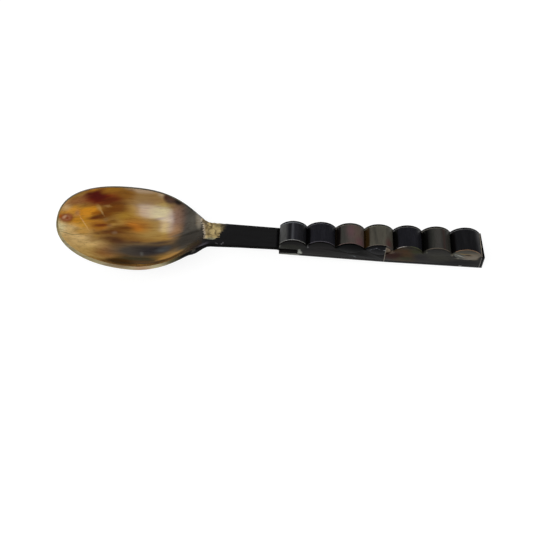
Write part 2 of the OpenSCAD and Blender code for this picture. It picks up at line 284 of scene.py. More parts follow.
# %% Amber ground, and the pale, khaki and brown clouds
bowl_horn, tree, mm = new_material("amber_and_black_horn")
flat = bent(tree, mm)
frayed = ragged(tree, flat, 1.5, 0.16, (0.4, 1.0, 0.6))
cloud = grain(tree, flat, 0.10, (0.3, 1.0, 0.6), 5.0, 0.6)
colour = mix(tree, ramp(tree, cloud, 0.35, 0.65), paint("#966C2E"), paint("#AE8640"))
colour = spots(tree, frayed, colour, [
    # tan by the far rim, cream and khaki at the tip
    ((-81, 28), (14, 4), "#9A7846", 0, 0.6),
    ((-84, 31.6), (10, 1.6), "#BCA488", 0, 0.6),
    ((-127, 0), (11, 20), "#F0CC88", 0, 0.4),
    ((-116, -9), (13, 9), "#ECC882", 0, 0.5),
    ((-131.6, 9), (3, 9), "#F8E4A8", 0, 0.5),
    ((-110, -12), (9, 8), "#D8B468"),
    ((-104.5, -10), (7, 6.5), "#A0703C"),
    # brown in the middle of the hollow
    ((-87.8, 1.4), (4.4, 1.4), "#583C20", 2, 0.8),
    ((-73, 1.7), (8, 1.2), "#624A30", 4, 0.9),
    ((-99.5, 1.4), (8.5, 4.6), "#543010", 0, 0.8),
    ((-88, 4.8), (11, 2.8), "#845A22"),
    # yellow ground on the far wall, where the lamps are mirrored
    ((-79, 11), (11, 6), "#A68544"),
    ((-72.5, 21), (7, 3.6), "#B4A054"),
    ((-68.6, 12), (3.4, 4), "#BC9C42"),
    ((-75, 17.6), (4, 0.8), "#8A6A34", 4, 0.8),
    ((-71, 29), (4, 1.4), "#B49E7E", -15, 0.7),
    ((-93, 21.6), (3, 2.6), "#B48C3A"),
])
print("nodes so far:", len(tree.nodes))

# %% Orange and yellow bands from the tip to the middle
colour = spots(tree, frayed, colour, [
    ((-128, 24.2), (5.6, 2.8), "#E6A43A", 0, 0.6),
    ((-121, 17), (9.5, 4), "#D8941C", 0, 0.6),
    ((-119.5, 8), (5, 3), "#D2A04C"),
    ((-119, 13), (5, 2.4), "#DEA43A"),
    ((-111.5, 12.6), (6, 3.4), "#A8680E"),
    ((-118.5, 22), (7.5, 2.8), "#DC9420", 0, 0.5),
    ((-107.5, 19.5), (6, 3), "#7A4608"),
    ((-94, 18.6), (8, 3.6), "#A67C26"),
    ((-88.5, 13), (8, 4), "#AA7024"),
    ((-90.5, 12), (4.5, 2), "#CC7E22"),
    ((-130.8, 28.2), (3, 3), "#E4BC80"),
    ((-104, 14.4), (4.4, 1.1), "#84581A"),
])
print("nodes so far:", len(tree.nodes))

# %% Maroon and brown clouds under the far rim
colour = spots(tree, frayed, colour, [
    ((-121.5, 29.2), (9.5, 2.4), "#AC7440", 0, 0.5),
    ((-97.5, 28.4), (7.6, 2.8), "#8A5A18", 0, 0.6),
    ((-102, 22.6), (7.5, 3.2), "#784404"),
    ((-111, 28.6), (8.5, 3.6), "#862C02", 0, 0.6),
    ((-116, 31), (4, 1.6), "#601E06"),
    ((-112.5, 32.4), (5, 1.3), "#B67D26", 0, 0.6),
    ((-104.5, 26.4), (6.5, 1.7), "#6A2A02"),
    ((-112.2, 29.0), (5.2, 2.4), "#5C1204", 0, 0.6),
    ((-104.5, 30.6), (5, 1.3), "#A87420"),
    # dark streaks in the middle of the hollow
    ((-113.5, 20.6), (2.4, 0.9), "#A66006", 0, 0.8),
    ((-113.3, 17.8), (4.4, 1.1), "#683200", 0, 0.8),
    ((-109.8, 12.4), (4.2, 1.0), "#763902", 0, 0.8),
    ((-103.5, 8.0), (8, 1.8), "#6C400F", 2, 0.7),
    ((-96.5, 10.6), (7, 2), "#704208", 4, 0.8),
])
print("nodes so far:", len(tree.nodes))

# %% Slate band along the near wall, with a dark olive edge below it
colour = spots(tree, frayed, colour, [
    ((-86.5, -6.2), (16.5, 6.4), "#4A4239", 4, 0.6),
    ((-74, -4.5), (13, 5.4), "#2C2829", 6, 0.7),
    ((-68.5, -4), (4.5, 2.2), "#484A4C", 12, 0.8),
    ((-84.5, -16), (15, 5), "#2D342C", 3, 0.5),
    ((-94.5, -20.6), (9.4, 5.2), "#2A1806", 5, 0.5),
    ((-69, -18.2), (6, 2.4), "#452C16", 24, 0.7),
    ((-79, -17.8), (8, 2.6), "#4E3E30", 6, 0.6),
])
print("nodes so far:", len(tree.nodes))

# %% The throat, first slate and then black
throat = add(tree, "SeparateXYZ", {0: frayed}).outputs[0]
colour = mix(tree, ramp(tree, throat, -66, -56), colour, paint("#45423C"))
colour = spots(tree, frayed, colour, [
    # the rear wall, with a mauve veil and long streaks
    ((-62.5, 15), (5, 10), "#86685A", 0, 0.9, 0.8),
    ((-63, 9), (4, 3), "#A07A54", 0, 0.9, 0.8),
    ((-49.5, 12), (5, 5), "#5C5850", 0, 0.9, 0.8),
    ((-56, 0), (10, 4.6), "#38342E", 10, 0.8, 0.9),
    ((-55, 6.6), (10, 0.7), "#4E4B44", 6, 0.8, 0.8),
    ((-53, 4.6), (8, 0.9), "#2B2822", 2, 0.8, 0.8),
    # a black edge and brown patches by the far shoulder
    ((-62.5, 25), (7.5, 2.4), "#1C1412", -27, 0.4),
    ((-69, 27), (2.4, 1.4), "#48200A", -20, 0.7),
    ((-67, 25.4), (3.6, 1.6), "#4E382C", -20, 0.7),
    # the near shoulder: dark olive with an amber streak
    ((-54, -13), (9, 4), "#34332A", 24, 0.6),
    ((-49.5, -9.4), (6, 3), "#2C2A28", 30, 0.6),
    ((-64.6, -11.7), (7.6, 1.5), "#B4884A", 24, 0.6),
    ((-61, -14), (9, 1.5), "#4A2E12", 26, 0.6),
    ((-47, -7), (6, 5), "#1C1B1B", 20, 0.7),
    ((-54.5, -16), (3, 1.2), "#5A4C3C", 30, 0.8),
    # a pale strip by the chiselled patch's left edge: painted highlight
    ((-47.2, 10.5), (1.5, 4), "#8C8474", 14, 0.8),
])
colour = mix(tree, ramp(tree, throat, -46, -41), colour, paint("#121213"))
print("nodes so far:", len(tree.nodes))

# %% Knot, growth lines, scrapes and scuffs
near_place = ragged(tree, flat, 0.5, 0.5, (1, 1, 1))
colour = spots(tree, near_place, colour, [
    # knot by the tip
    ((-132, 20), (2.4, 1.5), "#CE700A", -20, 0.8),
    ((-128.9, 18.8), (3.1, 3.3), "#944210", 0, 0.5),
    ((-129.1, 19), (2.0, 2.2), "#B8764A", 0, 0.6),
    ((-130.1, 19.6), (0.7, 1.3), "#DEAE84", -20, 0.8),
    ((-128.8, 18.6), (0.7, 0.8), "#984620", 0, 0.8),
    # thin growth lines, pale scrapes, and a grey speck of painted sheen
    ((-127.5, 5.7), (3.4, 0.28), "#6C5830", -15, 0.9, 0.7),
    ((-120.3, 5.5), (4.6, 0.28), "#6E542A", 7, 0.9, 0.7),
    ((-120, 15), (5.4, 0.3), "#F2CA7A", -61, 0.9, 0.6),
    ((-124, 22), (1.2, 1.6), "#D0945C", 0, 0.9, 0.7),
    ((-112.2, 23.4), (1.8, 0.9), "#C69A52", -50, 0.9, 0.8),
    ((-110.4, 20.8), (2.2, 0.4), "#B89458", -56, 0.9, 0.7),
    ((-107, 23.6), (1.9, 0.5), "#AC8248", -10, 0.9, 0.8),
    ((-107.7, 16.2), (1.4, 1.0), "#8E6A3C", 0, 0.9, 0.8),
    ((-105.3, 12.2), (1.4, 0.9), "#84623A", 0, 0.9, 0.7),
    ((-101.8, 7.1), (1.4, 1.1), "#846648", 0, 0.9, 0.8),
    # a grey speck of painted sheen on the slate band
    ((-83, -8.3), (1.0, 1.6), "#5E5D5B", 20, 0.9, 0.7),
    # a painted highlight along the near shoulder's edge, then scuffs on the black neck
    ((-43.4, -9.6), (3.4, 1.0), "#504C56", 30, 0.8, 0.8),
    ((-34.4, -8.0), (1.0, 0.3), "#66646A", -40, 0.8, 0.7),
    ((-31.4, -8.0), (1.2, 0.3), "#66646A", 45, 0.8, 0.7),
    ((-30.6, -7.2), (0.4, 0.6), "#55545A", 0, 0.8, 0.7),
])
print("nodes so far:", len(tree.nodes))

# %% Lengthwise grain and polish
streaks = grain(tree, flat, 0.45, (0.07, 1.0, 0.5), 5.0, 0.55, 7.0)
fine = grain(tree, flat, 1.5, (0.06, 1.0, 0.5), 3.0, 0.6, 21.0)
colour = darken(tree, colour, fine, 0.5, 0.72, 0.4, "#A07C50")
colour = darken(tree, colour, streaks, 0.42, 0.72, 0.35, "#94744E")
wear = grain(tree, mm, 1.6, (0.3, 1.0, 1.0), 3.0, 0.5, 3.0)
polish(tree, bowl_horn, colour, ramp(tree, wear, 0.3, 0.8, 0.14, 0.24), streaks, 0.05, 0.04)
print("bowl horn nodes:", len(tree.nodes))

# %% [markdown]
# The rim and the bowl's back are the horn's outer layers, which are paler and duller. From the
# front they show as the beige strip along the near rim. The neck's narrow sides were cut through
# black horn and never polished, so they get a dull black of their own.

# %% Horn of the rim and the bowl's back
back_horn, tree, mm = new_material("pale_outer_horn")
frayed = ragged(tree, mm, 1.6, 0.16, (0.45, 1.0, 0.6))
cloud = grain(tree, mm, 0.12, (0.3, 1.0, 1.0), 5.0, 0.6, 11.0)
colour = mix(tree, ramp(tree, cloud, 0.35, 0.65), paint("#565038"), paint("#6A6448"))
colour = spots(tree, frayed, colour, [
    ((-118, -21), (20, 5), "#A2946C", -35, 0.6),
    ((-80, -30.6), (22, 5), "#AFA482", 0, 0.5),
    ((-93, -30.8), (8, 3), "#8E7C60"),
    ((-78, -31.5), (5, 3), "#AC8E70", 0, 0.8),
    ((-110, 4), (24, 14), "#9A7E44", 0, 0.7, 0.8),
    ((-112, 20), (12, 8), "#6E3E1C", 0, 0.6, 0.8),
    ((-78, -4), (26, 7), "#5A5046", 4, 0.6, 0.9),
    ((-80, 25), (22, 9), "#40321F", 0, 0.6, 0.9),
    ((-126, 14), (8, 9), "#514B36", 45, 0.5, 0.9),
])
throat = add(tree, "SeparateXYZ", {0: frayed}).outputs[0]
colour = mix(tree, ramp(tree, throat, -62, -54), colour, paint("#141412"))
streaks = grain(tree, mm, 0.8, (0.05, 1.0, 0.4), 6.0, 0.6, 5.0)
colour = darken(tree, colour, streaks, 0.4, 0.75, 0.4, "#4A4030")
polish(tree, back_horn, colour, 0.34, streaks, 0.15, 0.08, 0.1)
print("back horn nodes:", len(tree.nodes))

# %% Horn of the neck's cut sides
neck_edge_horn, tree, mm = new_material("dull_black_horn")
rubbed = grain(tree, mm, 0.6, (0.2, 1.0, 1.0))
colour = mix(tree, rubbed, paint("#0A0A0A"), paint("#171615"))
polish(tree, neck_edge_horn, colour, 0.6, rubbed, 0.1, 0.03, 0.01)
print("neck side nodes:", len(tree.nodes))

# %% [markdown]
# Where the neck leaves the bowl, the maker cut through the dark skin with a chisel and left a
# rough patch of pale horn. Its colour breaks into yellow ridges and brown pits, with a painted
# highlight along its lip and on its ridges.

# %% Horn of the chiselled patch
chiselled_horn, tree, mm = new_material("rough_cut_horn")
crumbs = grain(tree, mm, 0.4, (0.7, 1.0, 1.0), 6.0, 0.7, 2.0)
cut_place = ragged(tree, mm, 1.2, 0.5, (0.6, 1, 1))
chips = add(tree, "TexVoronoi", {"Vector": cut_place, "Scale": 0.5}).outputs["Distance"]
colour = mix(tree, ramp(tree, crumbs, 0.36, 0.62), paint("#6A5426"), paint("#C4AE78"))
colour = spots(tree, cut_place, colour, [
    # a brown groove, a pale lip where the bowl ends and pale ridges: the lip and ridges are painted
    # highlights
    ((-41.6, 5), (1.5, 8), "#54401C", 14, 0.7, 0.65),
    ((-44.2, 4), (1.2, 9.6), "#B6A894", 14, 0.5, 0.9),
    ((-37.5, 2.4), (3.2, 2.8), "#BCA670", 0, 0.8, 0.7),
    ((-38.5, -4.6), (4, 1.2), "#8C8C74", 0, 0.7, 0.9),
    ((-31.5, 7), (4.5, 1.6), "#6C6242", 0, 0.7, 0.9),
])
colour = mix(tree, ramp(tree, chips, 0.45, 0.9, 0.0, 0.8), colour, paint("#463410"))
along = add(tree, "SeparateXYZ", {0: cut_place}).outputs[0]
colour = mix(tree, ramp(tree, along, -34, -29), colour, paint("#121213"))
polish(tree, chiselled_horn, colour, 0.5, crumbs, 0.6, 0.3)
print("chiselled horn nodes:", len(tree.nodes))

# %% [markdown]
# ## The bowl and neck
# The carved piece is one smooth shell with a crisp rim. The CAD solid has that shape in many
# small triangles, so a copy of its mesh is welded, its triangles are joined into quads and it is
# shaded smooth. Where the chisel went its faces are cut finer and pushed up and down. The rim's
# own faces are told from the hollow by how they lean.

# %% Helpers that select and apply
def only(obj):
    """Makes one object the selected and active one."""
    bpy.ops.object.select_all(action="DESELECT")
    obj.select_set(True)
    bpy.context.view_layer.objects.active = obj


def apply_all(obj):
    """Applies every modifier of a piece, in order."""
    only(obj)
    for modifier in list(obj.modifiers):
        bpy.ops.object.modifier_apply(modifier=modifier.name)


def edit_all(obj, operator, **settings):
    """Runs one edit-mode operator on a piece's whole mesh."""
    only(obj)
    bpy.ops.object.mode_set(mode="EDIT")
    bpy.ops.mesh.select_all(action="SELECT")
    operator(**settings)
    bpy.ops.object.mode_set(mode="OBJECT")


print("editing helpers ready")

# %% Helpers that pick faces
def pick(obj, test):
    """Selects the faces whose middle and normal pass a test, in edit mode."""
    bpy.ops.object.mode_set(mode="EDIT")
    bpy.ops.mesh.select_mode(type="FACE")
    bpy.ops.mesh.select_all(action="DESELECT")
    shell = bmesh.from_edit_mesh(obj.data)
    found = 0
    for face in shell.faces:
        if test(face.calc_center_median(), face.normal):
            face.select_set(True)
            found += 1
    bmesh.update_edit_mesh(obj.data)
    return found


def give(obj, test, material):
    """Gives the faces that pass a test one of the piece's materials, and counts them."""
    found = pick(obj, test)
    obj.active_material_index = obj.data.materials.find(material.name)
    bpy.ops.object.material_slot_assign()
    bpy.ops.object.mode_set(mode="OBJECT")
    return found


print("selection helpers ready")

# %% Helpers that copy and place
WELD_GAP = 0.002 * MM


def twin(source, name):
    """Copies a piece with a mesh of its own."""
    piece = bpy.data.objects.new(name, source.data.copy())
    bpy.context.scene.collection.objects.link(piece)
    return piece


def copy_of(node, name):
    """Copies a CAD node, whose mesh is loose triangles, and welds them."""
    piece = twin(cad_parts[node], name)
    piece.data.name = name
    piece.data.materials.clear()
    edit_all(piece, bpy.ops.mesh.remove_doubles, threshold=WELD_GAP)
    return piece


def settle(obj):
    """Puts a piece that was built level into the spoon's frame, with its place in its mesh."""
    only(obj)
    obj.matrix_world = REST @ obj.matrix_world
    bpy.ops.object.transform_apply(location=True, rotation=True, scale=True)


print("handle's front at, in mm:", [round(v / MM, 2) for v in REST.translation])

# %% Bowl and neck
bowl = copy_of("bowl_and_neck", "carved_bowl_and_neck")
edit_all(bowl, bpy.ops.mesh.tris_convert_to_quads, face_threshold=math.radians(40),
         shape_threshold=math.radians(60))
dress(bowl, bowl_horn, back_horn, chiselled_horn, neck_edge_horn)
print("bowl faces:", len(bowl.data.polygons))

# %% Rim, back and the neck's sides
BOWL_MIDDLE, INSIDE = Vector((-88 * MM, 0, 0)), 15 * MM
BOWL_END, NECK_FROM = -50 * MM, -55 * MM
LEAN, LEVEL, STEEP = 0.2, 0.05, 0.75


def is_outside(middle, normal):
    """Tells the rim and the back: they lean away from the bowl's middle, or down."""
    out = (middle - BOWL_MIDDLE) * Vector((1, 1, 0))
    leans_out = out.length > INSIDE and normal.dot(out.normalized()) > LEAN
    return normal.z < LEVEL or (middle.x < BOWL_END and leans_out)


def is_neck_side(middle, normal):
    """Tells the neck's narrow sides, which were never polished."""
    outwards = normal.y * middle.y > 2 * LEAN * abs(middle.y)
    return middle.x > NECK_FROM and normal.z < STEEP and outwards


print("rim and back faces:", give(bowl, is_outside, back_horn),
      "neck side faces:", give(bowl, is_neck_side, neck_edge_horn))

# %% [markdown]
# The rough patch's outline is a ring of points in millimetres, read from the photograph. A face
# lies inside where a line from it crosses the ring an odd number of times. The chisel's strokes
# end at different lengths, so the outline is given small teeth.

# %% Chiselled patch
PATCH = [(-46.3, 12.0), (-44.3, 7.2), (-43.0, 0), (-42.7, -4.4), (-37.5, -4.9), (-34.0, -3.2),
         (-32.4, 1.5), (-29.5, 4.6), (-28.5, 8.6), (-38.5, 9.4), (-42.5, 10.8)]
TOOTH, TOOTH_PITCH = 0.7, 1.7
FINE_FROM, FINE_TO, FACES_UP = -49 * MM, -27 * MM, 0.5


def in_patch(middle, normal):
    """Tells whether a face of the throat's top lies where the chisel went."""
    x, y = middle.x / MM, middle.y / MM
    x += TOOTH * (abs((y / TOOTH_PITCH) % 1 - 0.5) * 4 - 1)
    inside = False
    for (x0, y0), (x1, y1) in zip(PATCH, PATCH[1:] + PATCH[:1]):
        if (y0 > y) != (y1 > y) and x < x0 + (y - y0) * (x1 - x0) / (y1 - y0):
            inside = not inside
    return inside and normal.z > FACES_UP


pick(bowl, lambda middle, normal: normal.z > FACES_UP and FINE_FROM < middle.x < FINE_TO)
bpy.ops.mesh.subdivide(number_cuts=3)
bpy.ops.object.mode_set(mode="OBJECT")
print("chiselled faces:", give(bowl, in_patch, chiselled_horn))

# %% Cut the patch's facets and smooth the rest
FACET, CUT_DEPTH = 2.2 * MM, 0.9 * MM
bowl.vertex_groups.new(name="chisel")
pick(bowl, in_patch)
bpy.ops.object.vertex_group_assign()
bpy.ops.object.mode_set(mode="OBJECT")
facets = bpy.data.textures.new("chisel_cuts", "VORONOI")
facets.noise_scale = FACET
cut = bowl.modifiers.new("cut", "DISPLACE")
cut.texture = facets
cut.texture_coords = "LOCAL"
cut.direction = "Z"
cut.vertex_group = "chisel"
cut.strength = CUT_DEPTH
cut.mid_level = 0.75
apply_all(bowl)
bpy.ops.object.shade_smooth_by_angle(angle=math.radians(38))
print("bowl triangles:", sum(len(f.vertices) - 2 for f in bowl.data.polygons))

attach(bowl, "root")
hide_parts("bowl_and_neck")

# %% [markdown]
# ## Horn for the plates
# The plates were cut from darker horn, each from another piece, and no two match. One recipe
# serves all: a ground colour, a second colour in clouds that are drawn out along the grain, and
# the marks that the photograph shows on that plate. The grain of the curved plates runs across
# the handle, and that of the flat ones runs along it.

# %% One recipe for plate horn
ACROSS, ALONG = (1.0, 0.1, 0.4), (0.18, 1.0, 0.8)


def plate_horn(name, ground, clouds, stretch, marks=(), side=False, seed=0.0, dull=0.25,
               gloss=0.07):
    """Makes polished horn with its own ground, clouds and marks."""
    material, tree, mm = new_material(name)
    frayed = ragged(tree, mm, 0.5, 0.45, stretch)
    cloud = grain(tree, mm, 0.35, stretch, 5.0, 0.6, seed)
    colour = mix(tree, ramp(tree, cloud, 0.4, 0.68), paint(ground), paint(clouds))
    colour = spots(tree, frayed, colour, marks, side)
    fibres = grain(tree, mm, 1.6, stretch, 5.0, 0.6, seed + 4)
    colour = darken(tree, colour, fibres, 0.45, 0.75, 0.35, "#4C4844")
    return polish(tree, material, colour, ramp(tree, fibres, 0.3, 0.8, dull, dull + 0.12),
                  fibres, 0.08, 0.04, gloss)


print("grain of", ACROSS, "across the handle and", ALONG, "along it")

# %% Horn of the seven curved plates, from the neck to the butt
WIDE = 30  # an oval of this half size across makes a band over the whole plate
# Each plate from the second on has a nearly black band on its flank at the valley before it:
# painted shade.
veneer_horns = [
    # Lobe 1's grey bands at 7.4 and 13.6 mm are painted highlights of the lamps over grey streaks
    # of the horn.
    plate_horn("black_horn_with_grey_and_highlight", "#1A1A1C", "#202023", ACROSS, [
        ((7.4, 0), (2.2, WIDE), "#4E4E4D"), ((13.6, 0), (0.9, WIDE), "#4C4D51", 0, 0.8),
        ((15.4, 0), (1.6, WIDE), "#26262A", 0, 0.8)], seed=1),
    plate_horn("blue_black_horn", "#1C1C21", "#222227", ACROSS, [
        ((22.9, 0), (1.5, WIDE), "#050505", 0, 0.3)], seed=2),
    plate_horn("mauve_and_grey_horn", "#4A4441", "#524844", ACROSS, [
        ((45, 0), (2.6, WIDE), "#3D3C38", 0, 0.8), ((50.5, 3), (3, 5), "#5C4648", 0, 0.9),
        ((54.6, 0), (2.8, WIDE), "#5A4C45", 0, 0.8), ((55.4, -5.5), (2.4, 4), "#5C4344", 0, 0.8),
        ((41.2, 0), (2.2, WIDE), "#0C0806", 0, 0.3)], seed=3),
    plate_horn("olive_grey_horn", "#4E4B43", "#58554B", ACROSS, [
        ((65.2, 0), (0.9, WIDE), "#44423B", 6, 0.8), ((73.6, -5.4), (1.8, 3.6), "#4E3834", 0, 0.9),
        ((59.5, 0), (2.2, WIDE), "#2C1E0A", 0, 0.3)], seed=4),
    plate_horn("black_horn", "#1B1B1F", "#212126", ACROSS, [
        ((77.5, 0), (2.1, WIDE), "#040403", 0, 0.3)], seed=5),
    # Lobe 6's grey band at 104.8 mm is partly the horn's streak and partly a painted highlight.
    plate_horn("olive_black_horn", "#2E2E2A", "#393935", ACROSS, [
        ((98.8, 0), (1.6, WIDE), "#1E1E1D", 0, 0.8), ((104.8, 0), (2.2, WIDE), "#403E3B", 0, 0.8),
        ((108.6, 0), (0.9, WIDE), "#3C302D", 0, 0.9), ((110.6, 0), (1.2, WIDE), "#33312D", 0, 0.8),
        ((96.2, 0), (2.5, WIDE), "#050504", 0, 0.3)], seed=6),
    plate_horn("plain_black_horn", "#18181A", "#1E1E20", ACROSS, [
        ((113.9, 0), (1.9, WIDE), "#060505", 0, 0.3)], seed=7, dull=0.3, gloss=0.05),
]
print("horns of the curved plates:", [horn.name for horn in veneer_horns])

# %% Horn of the near side's two plates, with their scratches and chips
near_front_horn = plate_horn("near_dark_horn", "#0A0909", "#121010", ALONG, [
    ((12, 13.6), (8, 3.2), "#1E1F19", 0, 0.4), ((32, 13), (8, 3), "#130F10", 0, 0.5),
    ((26, 7), (7, 3), "#1A1614", 0, 0.8), ((17.8, 9.0), (1.5, 1.7), "#83867E", 0, 0.4),
    ((17.5, 10.7), (0.8, 1.7), "#8A8D85", 0, 0.6), ((18.1, 9.2), (0.5, 1.2), "#A6A8A0", 20, 0.7),
    ((5.2, 14.8), (0.5, 1.5), "#50504C", -18, 0.7), ((22.9, 15.1), (0.5, 0.8), "#5A5A5A"),
    ((50.2, 7.8), (2.0, 0.25), "#3E4244", 10, 0.9), ((52.4, 7.1), (1.2, 0.3), "#5E6366", -35, 0.9),
    ], side=True, seed=8, dull=0.3, gloss=0.08)
near_rear_horn = plate_horn("near_brown_horn", "#282725", "#302F2D", ALONG, [
    ((83, 9), (8.5, 7), "#40311E", 0, 0.6), ((83.5, 13.4), (6, 2.6), "#402A12"),
    ((76.5, 9.5), (5.5, 3.6), "#2C140D", 10, 0.6), ((91.5, 13.6), (4.5, 2.2), "#2E3018", -20, 0.8),
    ((85, 7), (4.5, 1.6), "#33301F"), ((74.2, 13.8), (2.8, 1.9), "#5E5044", -15, 0.5),
    ((95, 9), (5, 3.6), "#2A2828"), ((105.5, 10), (7.5, 3.8), "#373630", -8, 0.7),
    ((118, 4), (12, 2.2), "#161617", 3, 0.6), ((127.4, 10.6), (2.6, 2.4), "#7E7261", 0, 0.5),
    ((122.4, 9.0), (5, 0.5), "#8E8C7C", 0, 0.8), ((97.4, 13.9), (0.5, 0.8), "#4A4941"),
    ((113.3, 12.3), (0.8, 1.0), "#6A665C"),
    ], side=True, seed=9, dull=0.3, gloss=0.08)
print("near side's horns:", near_front_horn.name, near_rear_horn.name)

# %% Horn of the three lens-shaped inlays
lens_blue_horn = plate_horn("lens_blue_black_horn", "#020304", "#040606", ALONG, side=True,
                            seed=10, dull=0.2, gloss=0.04)
lens_speckled_horn = plate_horn("lens_black_horn", "#090A0D", "#101116", ALONG, [
    ((71.2, 14.4), (1.0, 0.35), "#8C8C8C", 0, 0.9), ((62.4, 14.8), (0.9, 0.2), "#55565A", 30, 0.9),
    ((64.4, 15.6), (0.7, 0.2), "#4C4D52", 20, 0.9), ((65.8, 16.3), (0.5, 0.3), "#66676C", 0, 0.9),
    ((67.6, 15.4), (0.9, 0.2), "#44454A", -30, 0.9)], side=True, seed=11, dull=0.2, gloss=0.05)
lens_tan_horn = plate_horn("lens_grey_tan_horn", "#49463E", "#555046", ALONG, [
    ((126, 11), (5, 3), "#786C5A", 0, 0.6), ((116, 12), (4, 2), "#54554D"),
    ((121.5, 13.4), (3.6, 0.5), "#7E6A44", -8, 0.8),
    ((123.5, 12.4), (2.2, 0.6), "#2E2418", -8, 0.7),
    ((118.5, 11.6), (2.6, 0.3), "#9A9A92", -25, 0.8)], side=True, seed=12, dull=0.2, gloss=0.15)
print("lens horns:", lens_blue_horn.name, lens_speckled_horn.name, lens_tan_horn.name)

# %% Horn of the far side, the bottom and the butt
far_horn = plate_horn("far_dark_horn", "#0E0D0C", "#1A1715", ALONG, side=True, seed=13,
                      dull=0.4, gloss=0.04)
bottom_pale_horn = plate_horn("worn_bottom_horn", "#141312", "#1B1917", ALONG, [
    ((10.6, 7.1), (7.4, 0.8), "#74756C", -2.3, 0.25),
    ((15.2, 6.9), (2.2, 0.8), "#8C8C84", -2.3, 0.3)], side=True, seed=14, dull=0.4, gloss=0.15)
bottom_dark_horn = plate_horn("dark_bottom_horn", "#0D0D0D", "#151413", ALONG, [
    ((119.8, 1.4), (1.0, 0.5), "#9A9A98")], side=True, seed=15, dull=0.4, gloss=0.15)
butt_horn = plate_horn("butt_black_horn", "#080809", "#0E0E0F", (0.5, 0.5, 0.2), seed=16)
print("other horns:", far_horn.name, bottom_pale_horn.name, bottom_dark_horn.name, butt_horn.name)

# %% [markdown]
# The glue has dried to thin pale lines, and it shows as fine arcs where a curved plate meets the
# flat ones. It is dull and grainy. Its pale colour is partly a painted highlight of the lamps on
# the rounded edges, lighter over some lobes than over others, and painted shade makes it black in
# the valleys. So each arc's colour is a row of tall ovals, one for a lobe or a valley.

# %% Dried glue, with painted highlights and painted shade on the arcs
def dried_glue(name, ground, clouds, marks=()):
    """Makes old glue, dull and uneven, with its own colour at each lobe, where the arcs' painted
    highlight and shade are laid.
    """
    material, tree, mm = new_material(name)
    cloud = grain(tree, mm, 0.3, (1, 1, 1), 4.0, 0.6)
    colour = mix(tree, ramp(tree, cloud, 0.35, 0.65), paint(ground), paint(clouds))
    colour = spots(tree, mm, colour, marks, side=True)
    return polish(tree, material, colour, 0.5, cloud, 0.1, 0.03, 0.2)


CROWN, TALL = 15, 60


def bands(*places):
    """Makes tall ovals of places along, half widths, colours and softnesses."""
    return [((x, CROWN), (half, TALL), code, 0, soft) for x, half, code, soft in places]


# Near arcs: the grey over each lobe is partly painted highlight, the pale band at 81 mm is a
# painted highlight, and the black bands at the valleys are painted shade.
near_arc_glue_and_painted_light = dried_glue("near_arc_glue_and_painted_light", "#302E2C", "#403E3A", bands(
    (13, 9, "#70706C", 0.2), (13, 3.4, "#8C8C8A", 0.8), (31, 9, "#4E4B52", 0.2),
    (49, 9, "#5E4D48", 0.2), (66.5, 7, "#5E574E", 0.3), (81.0, 2.6, "#A29C98", 0.6),
    (91, 4, "#50523A", 0.5), (105, 7, "#60564A", 0.3), (123, 8.5, "#80624A", 0.3),
    *[(valley, 1.3, "#131210", 0.4) for valley in (22.6, 41.0, 59.2, 77.6, 95.9, 114.1)]))
# Far arcs: the grey over each lobe is partly painted highlight.
far_arc_glue_and_highlight = dried_glue("far_arc_glue_and_highlight", "#4C4C4E", "#5C5C5C", bands(
    (13, 9, "#70757A", 0.2), (31, 9, "#4A4A52", 0.2), (49, 9, "#605A52", 0.2),
    (67, 9, "#6C6A5C", 0.2), (103, 9, "#5E5A52", 0.2)))
glue_grey = dried_glue("grey_glue", "#5E5B57", "#76726C")
glue_pale = dried_glue("pale_glue", "#7C7468", "#908679")
print("glues:", near_arc_glue_and_painted_light.name, far_arc_glue_and_highlight.name, glue_grey.name, glue_pale.name)

# %% [markdown]
# The core is a dark wood, sawn and never polished, so it is rough and hardly shines. It shows only
# in the valleys, where two of them catch some brown light, in the broken corner, and beside the
# near seam. There a tan filling covers it in the photograph, so it is coloured tan at that place.

# %% Core wood
core_wood, tree, mm = new_material("dark_core_wood")
fibres = grain(tree, mm, 1.2, (0.06, 1.0, 1.0), 5.0, 0.6)
colour = mix(tree, ramp(tree, fibres, 0.35, 0.7), paint("#050404"), paint("#0B0907"))
colour = spots(tree, mm, colour, [
    ((41.2, 0), (2.4, WIDE), "#19130A", 0, 0.5), ((59.0, 0), (2.4, WIDE), "#33220C", 0, 0.5),
    ((72.8, -7.7), (2.2, 0.8), "#8C7C6A", 0, 0.4)])
polish(tree, core_wood, colour, 0.7, fibres, 0.4, 0.1, 0.05)
dress(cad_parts["handle_core"], core_wood)
print("core wood nodes:", len(tree.nodes))

# %% [markdown]
# ## The curved plates
# Each curved plate is a strip of horn that was steamed and bent over its lobe. Lobes 2 to 6 have
# one curve, so that plate is made once: a cylinder is cut down to its top, the cut edges are
# drawn down into the valleys, and the sheet gets its thickness. It is then copied, and each copy
# is trimmed to the handle's taper and its edges are rounded. Lobes 1 and 7 have curves of their
# own and are made in the same way.

# %% Helpers that cut, trim and round
CUT_GAP = 0.0001 * MM


def slice_off(obj, point, normal, fill=True):
    """Cuts a piece by a plane and throws away the side that the plane's normal points to."""
    edit_all(obj, bpy.ops.mesh.bisect, plane_co=point, plane_no=normal, clear_outer=True,
             use_fill=fill, threshold=CUT_GAP)


def trim_to_taper(obj, inset):
    """Cuts both sides of a piece along the handle's taper, drawn in by inset."""
    for side in (-1, 1):
        edge = side * (WIDTH_FRONT / 2 - inset)
        slice_off(obj, (0, edge, 0), (-WIDENING, side, 0))


